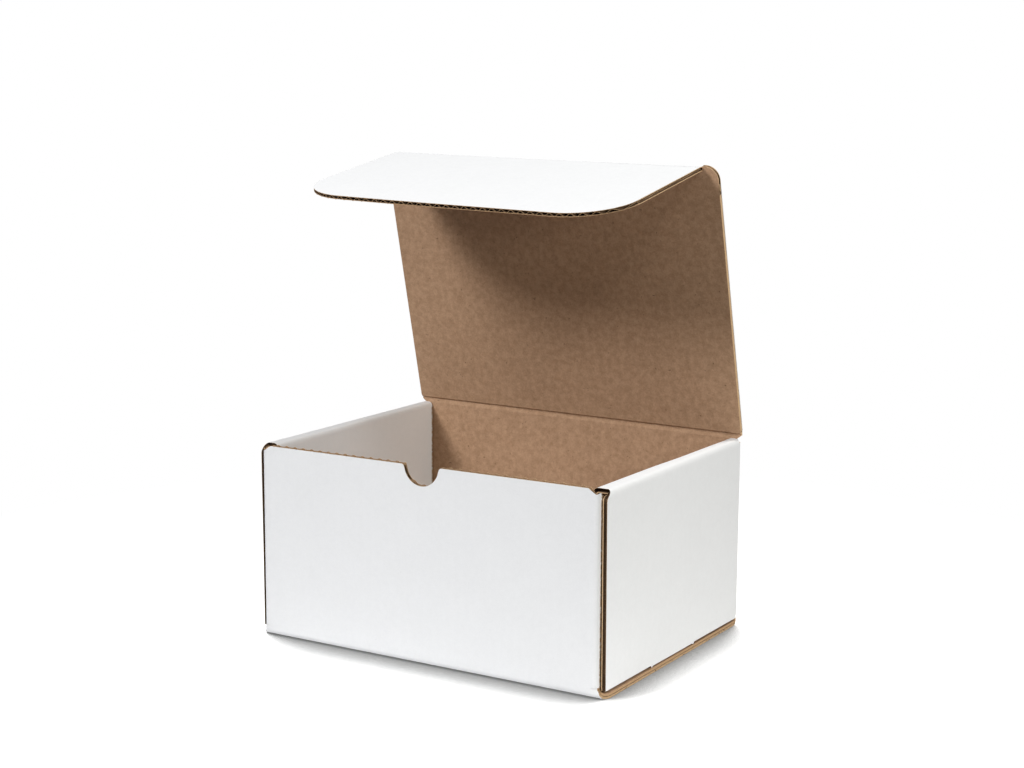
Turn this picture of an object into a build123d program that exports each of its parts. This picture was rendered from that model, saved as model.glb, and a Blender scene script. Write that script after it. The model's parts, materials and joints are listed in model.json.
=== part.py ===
from build123d import *
import math
import os

# Corrugated mailer box standing open. It is one die-cut and folded sheet, white outside and brown inside.
# Frame: origin in the middle of the floor's underside, front wall towards -Y, +Z up, millimetres.

# Board
board = 3.0                  # thickness of the corrugated board
liner = 0.35                 # flat paper on each face of the board
medium = 0.3                 # fluted paper between the liners
flute_pitch = 6.5            # one full wave
flute_reach = 10.0           # how far the open flutes run in from a cut edge
cut_groove = 0.9             # hollow between the liners along an edge cut along the flutes

# Inside of the closed box
inside_width = 229.0
inside_depth = 179.0
inside_height = 120.5

# Inside radii of the folds
floor_crease = 1.5
corner_crease = 0.5
spine_crease = 0.3
fold_rise = 6.5              # height at which the upright corner folds start

# Side wall, from the inside: inner panel, front flap, outer panel
flap_gap_inside = 1.5        # beside the rear half of the inner panel's line
flap_gap_outside = 0.5       # between the front flap and the outer panel
flap_gap_end = 0.35          # the same at the far end of the front flap
bulge = 0.9                  # the inner panel stands further in beside the front flap
bulge_end = 4.0              # length of the step behind the front flap's end
front_flap_length = 94.0
front_flap_drop = 3.5        # from the side wall's top down to the front flap
floor_gap = 0.6              # from the floor up to the front flap
panel_gap_back = 2.7         # between the inner and the outer panel at the back

# Front wall
front_rise = 0.5             # front wall above the side walls
shoulder_width = 7.0         # slanted top corners of the front wall
shoulder_drop = 2.7
notch_radius = 12.5
notch_lip = 2.0              # rounding where the thumb notch meets the top edge

# Side walls
floor_edge = 1.5             # floor beyond the front wall's corner folds
panel_gap = 0.3              # front edge of the outer panel behind the front wall's inside
spine_setback = 7.5          # front end of the spine behind the front face
inner_setback = 6.5          # front edge of the inner panel behind the front face
spine_corner = 5.0           # slanted corner between the outer panel's front edge and the spine
spine_corner_drop = 0.6
panel_clearance = 1.7        # from the floor's top up to the outer panel's lower edge
foot_length = 58.0           # lower part in the middle of that edge
foot_centre = -1.8
foot_drop = 1.3
inner_clearance = 0.3        # from the floor's top up to the inner panel's lower edge
rear_gap = 0.5               # between a side wall's inner layers and the back wall
corner_drop = 2.5            # back corner folds below the side wall's top
tab_length = 38.0            # tabs of the inner panels, in slots in the floor
tab_spacing = 92.0
tab_clearance = 0.3
tab_short = 0.4              # from the floor's underside up to the tab's end

# Lid
lid_over = 1.75              # lid beyond the front wall's corner folds, on each side
lid_rest = 0.35              # gap between the closed lid and the side walls
hinge_gap = 0.3              # running gap beside a fold that moves
lid_lean = 13.73             # degrees forward of upright, as it stands open
lid_corner = 9.0             # rounded corners beside the tuck flap
lid_heel_width = 1.6         # small slanted corners at the lid's lower fold
lid_heel_height = 3.2

# Tuck flap
tuck_clearance = 0.4         # on each side of the flap in the closed box
tuck_front_clearance = 0.5   # behind the front wall in the closed box
tuck_fold = 86.39            # degrees between lid and flap, as it stands open
tuck_inward = 138.0          # the same when the flap leans furthest in
tuck_length = 121.5          # from the lid's outer face to the flap's front edge
tuck_corner = 37.0           # large rounded front corners

# Worked out from the sizes above
half_board = board / 2
core = board - 2 * liner
floor_bend = floor_crease + board
corner_bend = corner_crease + board
spine_bend = spine_crease + board
floor_top = board
wall_top = floor_top + inside_height
front_top = wall_top + front_rise
half_depth = inside_depth / 2 + board
front_y = -half_depth
inside_half = inside_width / 2
bulge_half = inside_half - bulge
front_half = inside_half + board + flap_gap_inside + board
floor_half = front_half + floor_edge
outer_half = front_half + flap_gap_outside + board
back_half = inside_half + board + panel_gap_back + board
panel_front_y = front_y + board + panel_gap
panel_rear_y = half_depth - corner_bend
inner_rear_y = half_depth - board - rear_gap
flap_end_y = front_y + front_flap_length
hinge_y = half_depth - half_board
hinge_z = wall_top + lid_rest + half_board
back_top = hinge_z - half_board - hinge_gap
lid_half = front_half + lid_over
tuck_half = bulge_half - tuck_clearance
fold_reach = hinge_y - (front_y + board + tuck_front_clearance + half_board)
lid_length = fold_reach + half_board
tuck_reach = tuck_length - half_board


def plate(low, high):
    """Rectangular block between two opposite corners."""
    size = [abs(b - a) for a, b in zip(low, high)]
    middle = [(a + b) / 2 for a, b in zip(low, high)]
    return Pos(*middle) * Box(*size)


def side_plane(y):
    """Plane across the box at y, seen from the front."""
    return Plane(origin=(0, y, 0), x_dir=(1, 0, 0), z_dir=(0, -1, 0))


def slab(points, rear_y, depth):
    """Outline in X and Z, run forward by depth from rear_y."""
    return extrude(side_plane(rear_y) * make_face(Polyline(*points, close=True)), amount=depth)


def ribbon(outside, inside, crease):
    """Section of a folded board between its outside and inside corner lines."""
    outer = FilletPolyline(*outside, radius=crease + board)
    inner = FilletPolyline(*inside, radius=crease)
    edges = outer.edges() + inner.edges()
    edges += Line(outside[0], inside[0]).edges()
    edges += Line(outside[-1], inside[-1]).edges()
    return make_face(edges)


def corner_fold(corner_x, corner_y, inward, low, high):
    """Upright quarter-round fold with its outer faces at corner_x and corner_y."""
    centre_x = corner_x - corner_bend
    centre_y = corner_y + inward * corner_bend
    ring = Cylinder(corner_bend, high - low) - Cylinder(corner_crease, high - low)
    quarter = plate((centre_x, corner_y, low), (corner_x, centre_y, high))
    return (Pos(centre_x, centre_y, (low + high) / 2) * ring) & quarter


def outer_at(y):
    """Outer face of the side wall at y; the walls run closer together towards the back."""
    share = (y - panel_front_y) / (panel_rear_y - panel_front_y)
    return outer_half + (back_half - outer_half) * share


def flute_hollow(centre, face):
    """Hollow on one side of the fluted paper, one wave wide."""
    swing = (core - medium) / 2
    points = []
    for step in (-0.9, -0.5, 0.0, 0.5, 0.9):
        level = -face * swing * math.cos(math.pi * step) + face * medium / 2
        points.append((centre + step * flute_pitch / 2, -level))
    rim = -face * core / 2
    return [(points[0][0], rim)] + points + [(points[-1][0], rim)]


def open_flutes(half_width, edge_height, margin):
    """Cutters for the open flutes along the upper edge of an upright panel that is centred on y 0."""
    cutters = []
    count = int(half_width / flute_pitch) + 1
    for i in range(-count, count):
        for face in (1, -1):
            centre = (i + 0.5 + face * 0.25) * flute_pitch
            reach = flute_pitch / 2
            if abs(centre) + reach > half_width - margin:
                continue
            heights = [edge_height(centre - reach), edge_height(centre), edge_height(centre + reach)]
            base = min(heights) - flute_reach
            hollow = make_face(Polyline(*flute_hollow(centre, face), close=True))
            cutters.append(Pos(0, 0, base) * extrude(hollow, amount=max(heights) - base + board))
    return cutters


# Floor with the front and back walls: one folded strip
strip_outside = [(front_y, front_top), (front_y, 0), (half_depth, 0), (half_depth, back_top)]
strip_inside = [(front_y + board, front_top), (front_y + board, floor_top),
                (half_depth - board, floor_top), (half_depth - board, back_top)]
strip_section = ribbon(strip_outside, strip_inside, floor_crease)
strip = extrude(Plane.YZ.offset(-floor_half) * strip_section, amount=2 * floor_half)

# Its side edges are cut along the flutes: a groove between the two liners.
# Above the floor folds the upright walls end at their corner folds.
for side in (1, -1):
    groove_x = side * (floor_half - cut_groove)
    strip -= plate((groove_x, front_y + floor_bend, liner),
                   (side * (floor_half + board), half_depth - floor_bend, liner + core))
    beyond = side * (floor_half + board)
    front_start = side * (front_half - corner_bend)
    back_start = side * (back_half - corner_bend)
    strip -= plate((front_start, front_y - board, fold_rise),
                   (beyond, front_y + 2 * board, front_top + board))
    strip -= plate((back_start, half_depth - 2 * board, fold_rise),
                   (beyond, half_depth + board, back_top + board))

# Front flap: turned back from the front wall, it ends halfway along the side wall
flap_start_y = front_y + corner_bend
flap_end_x = outer_at(flap_end_y) - board - flap_gap_end
flap_plan = [(front_half, flap_start_y), (flap_end_x, flap_end_y),
             (flap_end_x - board, flap_end_y), (front_half - board, flap_start_y)]
flap_low = floor_top + floor_gap
flap_high = wall_top - front_flap_drop
flap_face = make_face(Polyline(*flap_plan, close=True))
front_flap = Pos(0, 0, flap_low) * extrude(flap_face, amount=flap_high - flap_low)
front_flap -= plate((flap_end_x - 2 * board, front_y, 0),
                    (outer_half, front_y + floor_bend + board, fold_rise))
front_flap += corner_fold(front_half, front_y, 1, fold_rise, front_top)

# Slanted top corner of the front wall, cut through its corner fold too
shoulder_slope = shoulder_drop / shoulder_width
shoulder = [(front_half - shoulder_width, front_top), (front_half - shoulder_width, front_top + board),
            (front_half + board, front_top + board),
            (front_half + board, front_top - shoulder_slope * (shoulder_width + board))]
shoulder_cut = slab(shoulder, flap_start_y, corner_bend + board)
front_flap -= shoulder_cut
strip -= shoulder_cut
strip -= mirror(shoulder_cut, about=Plane.YZ)


def side_section(y, inner_x, low):
    """Side wall cut across at y: outer panel, spine and inner panel."""
    outer_x = outer_at(y)
    inner_low = floor_top + inner_clearance
    outside = [(outer_x, low), (outer_x, wall_top), (inner_x, wall_top), (inner_x, inner_low)]
    inside = [(outer_x - board, low), (outer_x - board, wall_top - board),
              (inner_x + board, wall_top - board), (inner_x + board, inner_low)]
    return side_plane(y) * ribbon(outside, inside, spine_crease)


panel_low = floor_top + panel_clearance
foot_low = panel_low - foot_drop
stations = [(panel_front_y, bulge_half), (flap_end_y, bulge_half),
            (flap_end_y + bulge_end, inside_half), (panel_rear_y, inside_half)]
sections = [side_section(y, x, foot_low) for y, x in stations]
side_wall = loft(sections, ruled=True)

# Lower edge of the outer panel: higher in front of and behind its middle foot
foot_front = foot_centre - foot_length / 2
foot_rear = foot_centre + foot_length / 2
panel_inside = inside_half + board + rear_gap
for start_y, end_y in ((front_y, foot_front), (foot_rear, half_depth)):
    side_wall -= plate((panel_inside, start_y, foot_low - board), (outer_half + board, end_y, panel_low))

# That edge is cut across the flutes, and the front edge along them
panel_middle_y = (panel_front_y + panel_rear_y) / 2
panel_turn = 90 + math.degrees(math.atan2(outer_half - back_half, panel_rear_y - panel_front_y))
panel_place = Pos(outer_at(panel_middle_y) - half_board, panel_middle_y, 0)
panel_place *= Rot(0, 0, panel_turn) * Rot(180, 0, 0)


def panel_edge_height(along):
    """Lower edge of the outer panel, upside down, at a distance from the panel's middle."""
    if abs(along + panel_middle_y - foot_centre) < foot_length / 2:
        return -foot_low
    return -panel_low


for cutter in open_flutes(panel_rear_y - panel_middle_y, panel_edge_height, board):
    side_wall -= panel_place * cutter
side_wall -= plate((outer_half - half_board - core / 2, panel_front_y, panel_low + board),
                   (outer_half - half_board + core / 2, panel_front_y + cut_groove,
                    wall_top - spine_corner - board))

# Front end: outer panel's slanted top corner, then the spine and the inner panel stop short of it
spine_front_y = front_y + spine_setback
inner_front_y = front_y + inner_setback
slanted = [(front_y, wall_top + board), (front_y, wall_top - spine_corner),
           (panel_front_y, wall_top - spine_corner),
           (spine_front_y, wall_top - spine_corner_drop), (spine_front_y, wall_top + board)]
side_wall -= extrude(Plane.YZ * make_face(Polyline(*slanted, close=True)), amount=outer_half + board)
side_wall -= plate((bulge_half - board, front_y, 0),
                   (outer_at(inner_front_y) - board, inner_front_y, wall_top + board))

# Rear end: the inner layers stop short of the back wall
side_wall -= plate((bulge_half - board, inner_rear_y, 0), (back_half - board, half_depth, wall_top + board))

# Tabs under the inner panel, in slots through the floor
for tab_y, tab_x in ((-tab_spacing / 2, bulge_half), (tab_spacing / 2, inside_half)):
    start_y = tab_y - tab_length / 2
    end_y = tab_y + tab_length / 2
    slot = plate((tab_x - tab_clearance, start_y - tab_clearance, -board),
                 (tab_x + board + tab_clearance, end_y + tab_clearance, floor_top + tab_clearance))
    strip -= slot
    strip -= mirror(slot, about=Plane.YZ)
    side_wall += plate((tab_x, start_y, tab_short), (tab_x + board, end_y, floor_top + board))

# Thumb notch with rounded lips
strip -= Pos(0, front_y + half_board, front_top) * Rot(90, 0, 0) * Cylinder(notch_radius, 2 * board)
lips = []
for edge in strip.edges().filter_by(Axis.Y):
    place = edge.center()
    if place.Y < 0 and abs(place.Z - front_top) < liner and abs(abs(place.X) - notch_radius) < liner:
        lips.append(edge)
strip = fillet(lips, notch_lip)

back_corner = corner_fold(back_half, half_depth, -1, fold_rise, wall_top - corner_drop)
half_tray = side_wall + back_corner + front_flap
tray = strip + half_tray + mirror(half_tray, about=Plane.YZ)


def front_edge_height(x):
    """Height of the front wall's cut edge at x, lower in the thumb notch."""
    if abs(x) >= notch_radius:
        return front_top
    return front_top - math.sqrt(notch_radius ** 2 - x ** 2)


for cutter in open_flutes(front_half, front_edge_height, shoulder_width + half_board):
    tray -= Pos(0, front_y + half_board, 0) * cutter

# Lid, upright with its lower fold on the X axis
lid_panel = plate((-lid_half, -half_board, 0), (lid_half, half_board, lid_length))
lid_panel = fillet(lid_panel.edges().filter_by(Axis.Y).group_by(Axis.Z)[-1], lid_corner)
heel = [(lid_half - lid_heel_width, 0), (lid_half, lid_heel_height),
        (lid_half + board, lid_heel_height), (lid_half + board, 0)]
heel_cut = slab(heel, board, 2 * board)
lid_panel -= heel_cut
lid_panel -= mirror(heel_cut, about=Plane.YZ)
lid_panel += Rot(0, 90, 0) * Cylinder(half_board, 2 * (lid_half - lid_heel_width))

# Opening between the lid's two upper corners, where the tuck flap is folded
mouth_half = tuck_half + tuck_clearance
mouth_low = fold_reach - half_board - hinge_gap
lid_panel -= plate((-mouth_half, -board, mouth_low), (mouth_half, board, lid_length + board))

# Its inner edge is crushed to a bevel, so that the flap can lean in
lean_cos = math.cos(math.radians(tuck_inward))
lean_sin = math.sin(math.radians(tuck_inward))
bevel_start = (half_board + hinge_gap) * (1 - lean_sin) / -lean_cos
bevel_depth = (half_board + hinge_gap - half_board * lean_cos) / lean_sin
bevel = [(bevel_start, mouth_low), (-half_board, fold_reach - bevel_depth),
         (-board, fold_reach - bevel_depth), (-board, mouth_low)]
bevel_face = Plane.YZ.offset(-mouth_half) * make_face(Polyline(*bevel, close=True))
lid_panel -= extrude(bevel_face, amount=2 * mouth_half)

# Side edges of lid and flap are cut along the flutes: a groove between the two liners
for side in (1, -1):
    groove_x = side * (lid_half - cut_groove)
    lid_panel -= plate((groove_x, -core / 2, lid_heel_height + half_board),
                       (side * (lid_half + board), core / 2, lid_length - lid_corner - half_board))

# Tuck flap, upright with its fold on the X axis
tuck_panel = plate((-tuck_half, -half_board, 0), (tuck_half, half_board, tuck_reach))
tuck_panel = fillet(tuck_panel.edges().filter_by(Axis.Y).group_by(Axis.Z)[-1], tuck_corner)
tuck_panel += Rot(0, 90, 0) * Cylinder(half_board, 2 * tuck_half)
for side in (1, -1):
    groove_x = side * (tuck_half - cut_groove)
    tuck_panel -= plate((groove_x, -core / 2, board),
                        (side * (tuck_half + board), core / 2, tuck_reach - tuck_corner - half_board))


def tuck_edge_height(x):
    """Reach of the flap's front edge at x, less at its rounded corners."""
    over = abs(x) - (tuck_half - tuck_corner)
    if over <= 0:
        return tuck_reach
    return tuck_reach - tuck_corner + math.sqrt(tuck_corner ** 2 - over ** 2)


for cutter in open_flutes(tuck_half, tuck_edge_height, flute_pitch):
    tuck_panel -= cutter

lid_place = Pos(0, hinge_y, hinge_z) * Rot(lid_lean, 0, 0)
lid = lid_place * lid_panel
tuck_flap = lid_place * Pos(0, 0, fold_reach) * Rot(tuck_fold, 0, 0) * tuck_panel

os.makedirs("parts", exist_ok=True)
for name, shape in (("tray", tray), ("lid", lid), ("tuck_flap", tuck_flap)):
    export_step(shape, f"parts/{name}.step")
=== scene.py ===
import bpy
import json
import math
from mathutils import Matrix, Vector, noise


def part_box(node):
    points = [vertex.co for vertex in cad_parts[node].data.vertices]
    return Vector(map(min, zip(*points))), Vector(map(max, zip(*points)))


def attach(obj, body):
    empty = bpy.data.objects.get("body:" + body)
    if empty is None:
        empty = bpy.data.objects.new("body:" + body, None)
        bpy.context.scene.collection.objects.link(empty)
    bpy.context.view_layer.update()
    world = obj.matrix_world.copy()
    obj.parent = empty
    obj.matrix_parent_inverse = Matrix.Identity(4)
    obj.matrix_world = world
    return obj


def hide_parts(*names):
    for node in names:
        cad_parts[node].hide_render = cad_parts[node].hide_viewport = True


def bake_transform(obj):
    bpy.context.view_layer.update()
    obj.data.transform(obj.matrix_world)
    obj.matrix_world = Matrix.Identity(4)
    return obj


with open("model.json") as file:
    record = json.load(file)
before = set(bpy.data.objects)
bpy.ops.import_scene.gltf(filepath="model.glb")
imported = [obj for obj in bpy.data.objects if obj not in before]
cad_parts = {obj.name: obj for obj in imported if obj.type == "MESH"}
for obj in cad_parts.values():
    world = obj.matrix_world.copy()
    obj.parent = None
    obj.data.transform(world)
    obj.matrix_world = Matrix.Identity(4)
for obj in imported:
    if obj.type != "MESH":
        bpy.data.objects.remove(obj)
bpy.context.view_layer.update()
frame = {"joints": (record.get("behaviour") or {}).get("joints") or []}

# The corrugated box's visible sheet. Sizes are in millimetres here and become metres as each mesh is made.
# A pair with the keys 1 and -1 holds the same size for the right and for the left side.
MM = 0.001


def node_box(node):
    """Lowest and highest corner of a frame node, in millimetres."""
    low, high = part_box(node)
    return low / MM, high / MM


tray_low, tray_high = node_box("tray")
lid_low, lid_high = node_box("lid")
flap_low, flap_high = node_box("tuck_flap")
joints = {joint["name"]: joint for joint in frame["joints"]}

# Board
BOARD = 3.0
LINER = 0.5                            # rim of a liner where the board is cut
MEDIUM = 0.32                          # thickness of the fluted paper
PITCH = 6.5                            # one full wave of the fluting
FINE = PITCH / 12                      # step along an edge that shows its waves
FLUTE_DEPTH = 9.0                      # how far the open flutes run in from a cut edge
FLUTE_LIT = 1.0                        # part of that depth with the paper's own colour; beyond it the flutes get painted shade
EDGE_LIT = 0.12                        # the same at the tuck flap's and the outer panels' edges
SMOOTH_ANGLE = 28.0                    # degrees between faces, above which an edge stays sharp

# Front wall and its shoulders, the slanted top corners. The frame gives the box's outer faces.
FRONT_Y = tray_low.y
BACK_Y = tray_high.y
OUTER_HALF = tray_high.x
FRONT_TOP = tray_high.z
FRONT_HALF = {1: 122.6, -1: 121.8}
FRONT_TILT = 0.0075                    # rise of the top edge per millimetre to the right
FRONT_LINER = 0.28
FRONT_SEED = 11
CUT_SLANT = 0.1                        # inner liner above the outer one along the top edge
RIM_RISE = 0.6                         # the same where a wave of the fluting touches it
NOTCH_RADIUS = 12.5
NOTCH_LIP = 2.0
SHOULDER = 7.0
SHOULDER_DROP = 3.5
SHOULDER_LIP = 1.1                     # turned up again at the outer end
SHOULDER_END = 5.3
SHOULDER_CRUSH = 2.6                   # inner liner below the outer one at the outer end

# Folds: outer radii, and the height at which the upright corner folds start
FLOOR_BEND = 4.5
CORNER_BEND = 3.5
SPINE_BEND = 3.3
FOLD_RISE = 6.5

# Floor, which stands out beyond the walls beside its cut edges
FLOOR_FRONT = {1: 127.6, -1: 124.0}
FLOOR_REAR = 122.9
FLOOR_RIMS = (1.3, 1.4)
NOSE_LENGTH = 10.0                     # end of the strip, narrowing into the upright corner fold
NOSE_SET_IN = 0.6

# Front flaps, between the layers of the side walls
WALL_TOP = FRONT_TOP - 0.5
FLAP_END_Y = FRONT_Y + 94.0
FLAP_END_GAP = 0.35                    # from the flap's far end out to the outer panel
FLAP_TOP = WALL_TOP - 3.5
FLAP_LOW = 3.6
FLAP_DIP = 3.0                         # top edge below its own height beside the corner fold
FLAP_DIP_LENGTH = 9.0
FLAP_SET_IN = {1: 0.6, -1: 1.1}        # behind the corner fold

# Back wall
BACK_HALF = 123.2
BACK_FOLD_TOP = WALL_TOP - 2.5

# Outer panels of the side walls
PANEL_FRONT_Y = FRONT_Y + BOARD + 0.3
REAR_Y = BACK_Y - CORNER_BEND
PANEL_FLARE = {1: 1.0, -1: -1.1}       # how far out the panel stands at its front
PANEL_LOW = 4.7                        # lower edge, and below it the foot along its middle
FOOT_LOW = 4.1
FOOT_FRONT = -30.8
FOOT_REAR = 27.2
FOOT_EASE = 1.2                        # length of the step at each end of the foot
NUB_DROP = 1.0                         # small nub of torn paper at each of those steps
NUB_WIDTH = 0.8
PANEL_SETBACK = 3.9                    # front edge behind the front face, at the foot
PANEL_LEAN = 0.9                       # as much further forward at the top
PANEL_TURN = 0.975                     # share of the height where the edge turns back to the spine
PANEL_TURN_BACK = 1.6

# Spines and inner panels of the side walls
FOLD_SETBACK = 4.6
SPINE_END = {1: 9.5, -1: 7.5}          # front end of the spine behind the front face
SPINE_NOSE = 1.0
INNER_SETBACK = 6.5                    # front edge of the inner panel behind the front face
INNER_LOW = 3.3
INNER_FRONT = {1: 113.6, -1: 113.9}    # inside face beside the front flap
INNER_STEP = 0.9                       # as much further out behind the flap's end
INNER_EASE = 40.0
HOLLOW_SPINE = {1: 3.0, -1: 1.0}       # depth of the fluting crushed back at the front end
HOLLOW_PANEL = 0.6
HOLLOW_RIMS = (0.12, 0.55)
WORN_SHADE_COLUMNS = 2                       # worn strip with painted shade along the inner panel's rear edge

# Lid
HINGE = Vector(joints["lid_hinge"]["pos_m"]) / MM
TUCK = Vector(joints["tuck_fold"]["pos_m"]) / MM
LID_HALF = lid_high.x
LID_REACH = (TUCK - HINGE).length
LID_LENGTH = LID_REACH + BOARD / 2
LID_STEP = 1.3
LID_CORNER = 9.0
CORNER_ROOM = 2.5                      # straight side below the rounded corners
SHOULDER_SINK = {1: 0.0, -1: 1.8}      # rounded corner below the lid's full length
HEEL_WIDTH = 1.6                       # small slanted corners at the lower fold
HEEL_HEIGHT = 3.2

# Tuck flap
TUCK_HALF = flap_high.x
TUCK_REACH = 120.0
TUCK_CORNER = 37.0
TUCK_FOLD = math.radians(86.39)
FLAP_SKEW = -0.8                       # sideways at its front edge
FLAP_LIFT = 0.4                        # up at its front edge
FLAP_TWIST = 1.45                      # left side up and right side down there
FLAP_CURL = 0.7                        # left side up all along
FLAP_LINER = 0.34
PRESSED_REACH = 2.5                    # front edge where the board is pressed thinner
PRESSED_DEPTH = 0.45
PRESSED_LEFT = 0.25                    # added at the left end

# Creases, from the corner point out to where the flat board starts
CREASE = 2.6
TUCK_CREASE = 4.0
CREASE_ROWS = 30
TUCK_CREASE_ROWS = 16
CREASE_END = 0.92                      # share of a crease where its pinch ends

# Stage and camera: lengths in metres, angles in degrees, camera in millimetres
FLOOR_SEEN = 2.56                      # floor's brightness as the camera sees it
FLOOR_GLOW = 0.7
CONTACT_REACH = 0.06                   # painted contact shadow
CONTACT_TURN = 45.0
CONTACT_LEAN = 45.0
CONTACT_RANGE = (0.385, 0.685)
CONTACT_DARK = 0.15
FLOOR_HALF = 6.0
FLOOR_DROP = 0.0002                    # below the box, so that no two faces share a plane
LAMP_SIZE = 0.3
LAMP_DISTANCE = 1.6
LAMP_AIM = Vector((0, 0, 0.15))
CAMERA_AZIMUTH = 31.921
CAMERA_HEIGHT = 10.003
CAMERA_ROLL = 0.286
CAMERA_LENS = 73.703
CAMERA_TARGET = Vector((6.27, 0, 161.0))
CAMERA_DISTANCE = 1324.6

# Directions of the lid and the flap as they stand open
LID_UP = (TUCK - HINGE).normalized()
LID_OUT = Vector((0, LID_UP.z, -LID_UP.y))
TURN = Matrix.Rotation(TUCK_FOLD, 3, "X")
FLAP_ALONG = TURN @ LID_UP
FLAP_OUT = TURN @ LID_OUT


# Materials

def new_material(name):
    material = bpy.data.materials.new(name)
    material.use_nodes = True
    tree = material.node_tree
    tree.nodes.clear()
    output = tree.nodes.new("ShaderNodeOutputMaterial")
    shader = tree.nodes.new("ShaderNodeBsdfPrincipled")
    tree.links.new(shader.outputs[0], output.inputs[0])
    return material, tree, shader


def make_node(tree, kind, **inputs):
    """New node; keyword names are socket names with spaces as underscores."""
    node = tree.nodes.new(kind)
    for key, value in inputs.items():
        node.inputs[key.replace("_", " ")].default_value = value
    return node


def stretched(tree, scale):
    """Object coordinates, scaled differently along each axis."""
    place = tree.nodes.new("ShaderNodeTexCoord")
    mapping = tree.nodes.new("ShaderNodeMapping")
    mapping.inputs["Scale"].default_value = scale
    tree.links.new(place.outputs["Object"], mapping.inputs["Vector"])
    return mapping.outputs["Vector"]


def noise_value(tree, scale, size, detail=3.0, rough=0.6):
    """Noise of the given size, stretched by scale."""
    node = make_node(tree, "ShaderNodeTexNoise", Scale=size, Detail=detail, Roughness=rough)
    tree.links.new(stretched(tree, scale), node.inputs["Vector"])
    return node.outputs["Fac"]


def ranged(tree, value, low, high, out_low, out_high):
    """Value mapped from one range to another and clamped."""
    node = tree.nodes.new("ShaderNodeMapRange")
    node.inputs["From Min"].default_value = low
    node.inputs["From Max"].default_value = high
    node.inputs["To Min"].default_value = out_low
    node.inputs["To Max"].default_value = out_high
    tree.links.new(value, node.inputs["Value"])
    return node.outputs["Result"]


def math_node(tree, operation, first, second):
    node = tree.nodes.new("ShaderNodeMath")
    node.operation = operation
    for socket, value in zip(node.inputs, (first, second)):
        if isinstance(value, (int, float)):
            socket.default_value = value
        else:
            tree.links.new(value, socket)
    return node.outputs[0]


def mixed(tree, amount, first, second):
    """Colour between two colours or sockets."""
    node = tree.nodes.new("ShaderNodeMix")
    node.data_type = "RGBA"
    for index, value in ((0, amount), (6, first), (7, second)):
        if isinstance(value, (int, float)):
            node.inputs[index].default_value = value
        elif isinstance(value, tuple):
            node.inputs[index].default_value = (*value, 1.0)
        else:
            tree.links.new(value, node.inputs[index])
    return node.outputs[2]


def flute_streaks(tree, across):
    """Faint washboard of the flutes below a liner, about -1 to 1, along the given axis."""
    axis = "XYZ".index(across)
    along = [2.0, 2.0, 2.0]
    along[axis] = 60.0
    place = tree.nodes.new("ShaderNodeTexCoord")
    split = tree.nodes.new("ShaderNodeSeparateXYZ")
    tree.links.new(place.outputs["Object"], split.inputs[0])
    turn = math_node(tree, "MULTIPLY", split.outputs[axis], 2 * math.pi / (PITCH * MM))
    wave = math_node(tree, "COSINE", turn, 0.0)
    patch = noise_value(tree, tuple(along), 1.0, 2.0)
    return math_node(tree, "MULTIPLY", wave, ranged(tree, patch, 0.35, 0.75, 0.15, 1.0))


def paper(name, colour, dark, pale, across, streak_colour, streak_bump, specks, rough, fine_share):
    """Liner paper: fibre mottling, small specks and the faint flutes below it."""
    material, tree, shader = new_material(name)
    cloud = noise_value(tree, (1, 1, 1), 45.0, 5.0)
    fibre = noise_value(tree, (1, 1, 1), 900.0, 4.0, 0.75)
    felt = noise_value(tree, (1, 1, 1), 260.0, 3.0, 0.6)
    speck = noise_value(tree, (1, 1, 1), 420.0, 1.0)
    tone = mixed(tree, ranged(tree, cloud, 0.3, 0.7, 0.0, 1.0), dark, pale)
    tone = mixed(tree, 0.6, tone, colour)
    for pattern, share in ((fibre, fine_share), (felt, fine_share * 0.6)):
        fine = mixed(tree, ranged(tree, pattern, 0.36, 0.64, 0.0, 1.0), dark, pale)
        tone = mixed(tree, share, tone, fine)
    streaks = flute_streaks(tree, across)
    tone = mixed(tree, ranged(tree, streaks, -1.0, 1.0, 0.0, streak_colour), tone, dark)
    tone = mixed(tree, ranged(tree, speck, 0.73, 0.8, 0.0, specks), tone, tuple(v * 0.45 for v in dark))
    tree.links.new(tone, shader.inputs["Base Color"])
    shader.inputs["Roughness"].default_value = rough
    shader.inputs["Specular IOR Level"].default_value = 0.25
    height = math_node(tree, "MULTIPLY", streaks, streak_bump)
    fuzz = math_node(tree, "MULTIPLY", fibre, 0.000012)
    wander = math_node(tree, "MULTIPLY", cloud, 0.00012)
    height = math_node(tree, "ADD", height, math_node(tree, "ADD", fuzz, wander))
    bump = tree.nodes.new("ShaderNodeBump")
    bump.inputs["Strength"].default_value = 1.0
    bump.inputs["Distance"].default_value = 1.0
    tree.links.new(height, bump.inputs["Height"])
    tree.links.new(bump.outputs[0], shader.inputs["Normal"])
    return material


def raw_paper(name, colour, dark, pale, size, pits=0.0, pit_scale=(1, 1, 1)):
    """Torn or cut brown paper: coarse fibres and, where asked, pits between them painted near-black as
    shade.
    """
    material, tree, shader = new_material(name)
    fibre = noise_value(tree, (1, 1, 1), size, 5.0, 0.7)
    coarse = noise_value(tree, (1, 1, 1), size / 6, 3.0)
    tone = mixed(tree, ranged(tree, fibre, 0.35, 0.65, 0.0, 1.0), dark, pale)
    tone = mixed(tree, ranged(tree, coarse, 0.35, 0.65, 0.2, 0.7), tone, colour)
    if pits:
        # Painted shade: near-black dots where the pits between the fibres lie.
        hole = noise_value(tree, pit_scale, 620.0, 2.0)
        tone = mixed(tree, ranged(tree, hole, 0.60, 0.66, 0.0, pits), tone, (0.05, 0.03, 0.016))
    tree.links.new(tone, shader.inputs["Base Color"])
    shader.inputs["Roughness"].default_value = 0.9
    shader.inputs["Specular IOR Level"].default_value = 0.15
    bump = tree.nodes.new("ShaderNodeBump")
    bump.inputs["Distance"].default_value = 0.00008
    tree.links.new(fibre, bump.inputs["Height"])
    tree.links.new(bump.outputs[0], shader.inputs["Normal"])
    return material


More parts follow.
